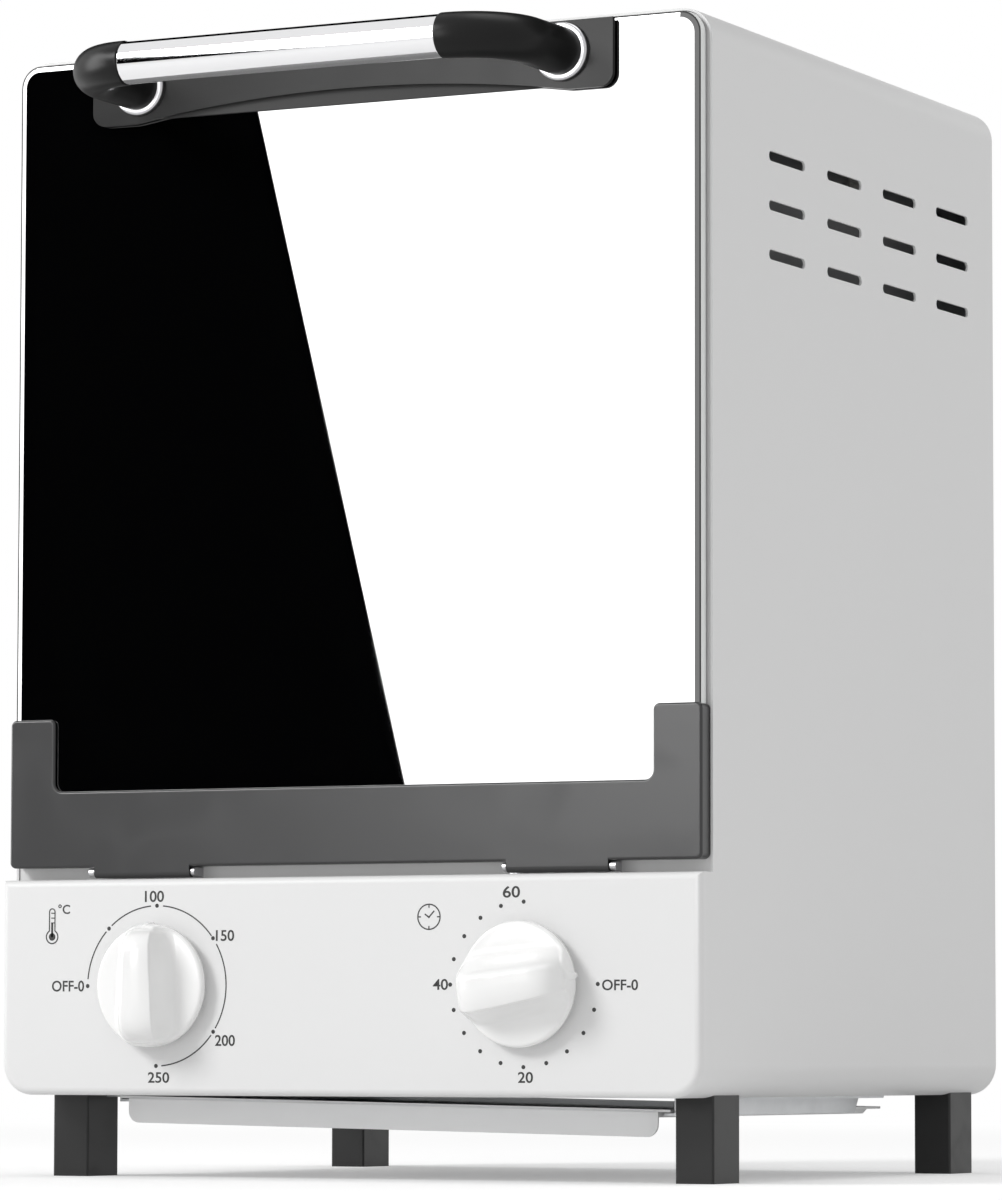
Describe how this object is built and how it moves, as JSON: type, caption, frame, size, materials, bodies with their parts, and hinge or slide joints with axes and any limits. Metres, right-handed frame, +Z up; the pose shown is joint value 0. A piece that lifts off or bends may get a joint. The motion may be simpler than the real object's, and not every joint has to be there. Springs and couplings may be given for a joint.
{
  "type": "dry heat sterilizer",
  "caption": "Bench top dry heat sterilizer: a heated chamber behind a drop down dark glass door, with dials for temperature and time and a pull out tray under it",
  "frame": {"origin": "bottom centre of the whole object, on the plane that the feet stand on", "axes": "+Z up; -Y to the front, where the door and the dials are; +X to the right, seen from the front"},
  "size_m": [0.2552, 0.2936, 0.372],
  "materials": {
    "case_paint": "satin white enamel on sheet steel",
    "coated_sheet": "zinc coated sheet steel",
    "liner_metal": "aluminised sheet, dull",
    "heater_sheath": "dull heat resisting steel sheath",
    "ceramic": "glazed white ceramic",
    "rack_chrome": "bright plated wire",
    "tray_steel": "stainless steel",
    "control_steel": "plated sheet steel",
    "copper_tube": "copper",
    "spring_steel": "plated steel",
    "bell_chrome": "bright plated steel",
    "shaft_brass": "turned brass",
    "knob_white": "smooth white moulding",
    "door_glass": "dark reflective toughened glass",
    "trim_grey": "satin dark grey enamel",
    "silicone": "black silicone",
    "handle_black_paint": "gloss black enamel",
    "grip_chrome": "mirror bright plating",
    "elbow_black": "black heat resisting moulding",
    "screw_steel": "plated steel",
    "pan_aluminium": "satin aluminium sheet",
    "foot_black": "black moulding",
    "gland_black": "black nylon"
  },
  "bodies": {
    "case": {"case_wrap": "case_paint", "control_panel": "case_paint", "front_frame": "case_paint", "back_panel": "coated_sheet", "bottom_plate": "coated_sheet", "chamber_liner": "liner_metal", "heat_shield": "liner_metal", "heater_low_front": "heater_sheath", "heater_low_rear": "heater_sheath", "heater_high_front": "heater_sheath", "heater_high_rear": "heater_sheath", "heater_bushes": "ceramic", "wire_rack": "rack_chrome", "instrument_tray": "tray_steel", "control_bracket": "coated_sheet", "thermostat": "control_steel", "thermostat_bulb": "copper_tube", "bulb_clips": "spring_steel", "timer": "control_steel", "timer_bell": "bell_chrome", "hinge_bracket_left": "spring_steel", "hinge_bracket_right": "spring_steel", "hinge_pins": "spring_steel", "tray_guides": "coated_sheet", "foot_front_left": "foot_black", "foot_rear_left": "foot_black", "foot_front_right": "foot_black", "foot_rear_right": "foot_black", "foot_screws": "screw_steel", "case_screws": "screw_steel", "cord_gland": "gland_black", "terminal_block": "ceramic"},
    "door": {"door_glass": "door_glass", "door_trim": "trim_grey", "glass_bed": "silicone", "door_arm_left": "spring_steel", "door_arm_right": "spring_steel", "handle_plate": "handle_black_paint", "handle_pad": "silicone", "handle_grip": "grip_chrome", "handle_elbow_left": "elbow_black", "handle_elbow_right": "elbow_black", "handle_ferrules": "grip_chrome", "handle_screws": "screw_steel"},
    "temperature_control": {"temperature_knob": "knob_white", "temperature_shaft": "shaft_brass"},
    "timer_control": {"timer_knob": "knob_white", "timer_shaft": "shaft_brass"},
    "tray": {"pull_out_tray": "pan_aluminium"}
  },
  "joints": [
    {"name": "door_hinge", "type": "hinge", "parent": "case", "child": "door", "pos_m": [0, -0.0935, 0.1], "axis": [1, 0, 0], "range_deg": [0, 90]},
    {"name": "temperature_turn", "type": "hinge", "parent": "case", "child": "temperature_control", "pos_m": [-0.0684, -0.098, 0.0627], "axis": [0, 1, 0], "range_deg": [-90, 180]},
    {"name": "timer_turn", "type": "hinge", "parent": "case", "child": "timer_control", "pos_m": [0.0657, -0.098, 0.0627], "axis": [0, 1, 0], "range_deg": [0, 278]},
    {"name": "tray_slide", "type": "slide", "parent": "case", "child": "tray", "axis": [0, -1, 0], "range_m": [0, 0.15]}
  ]
}
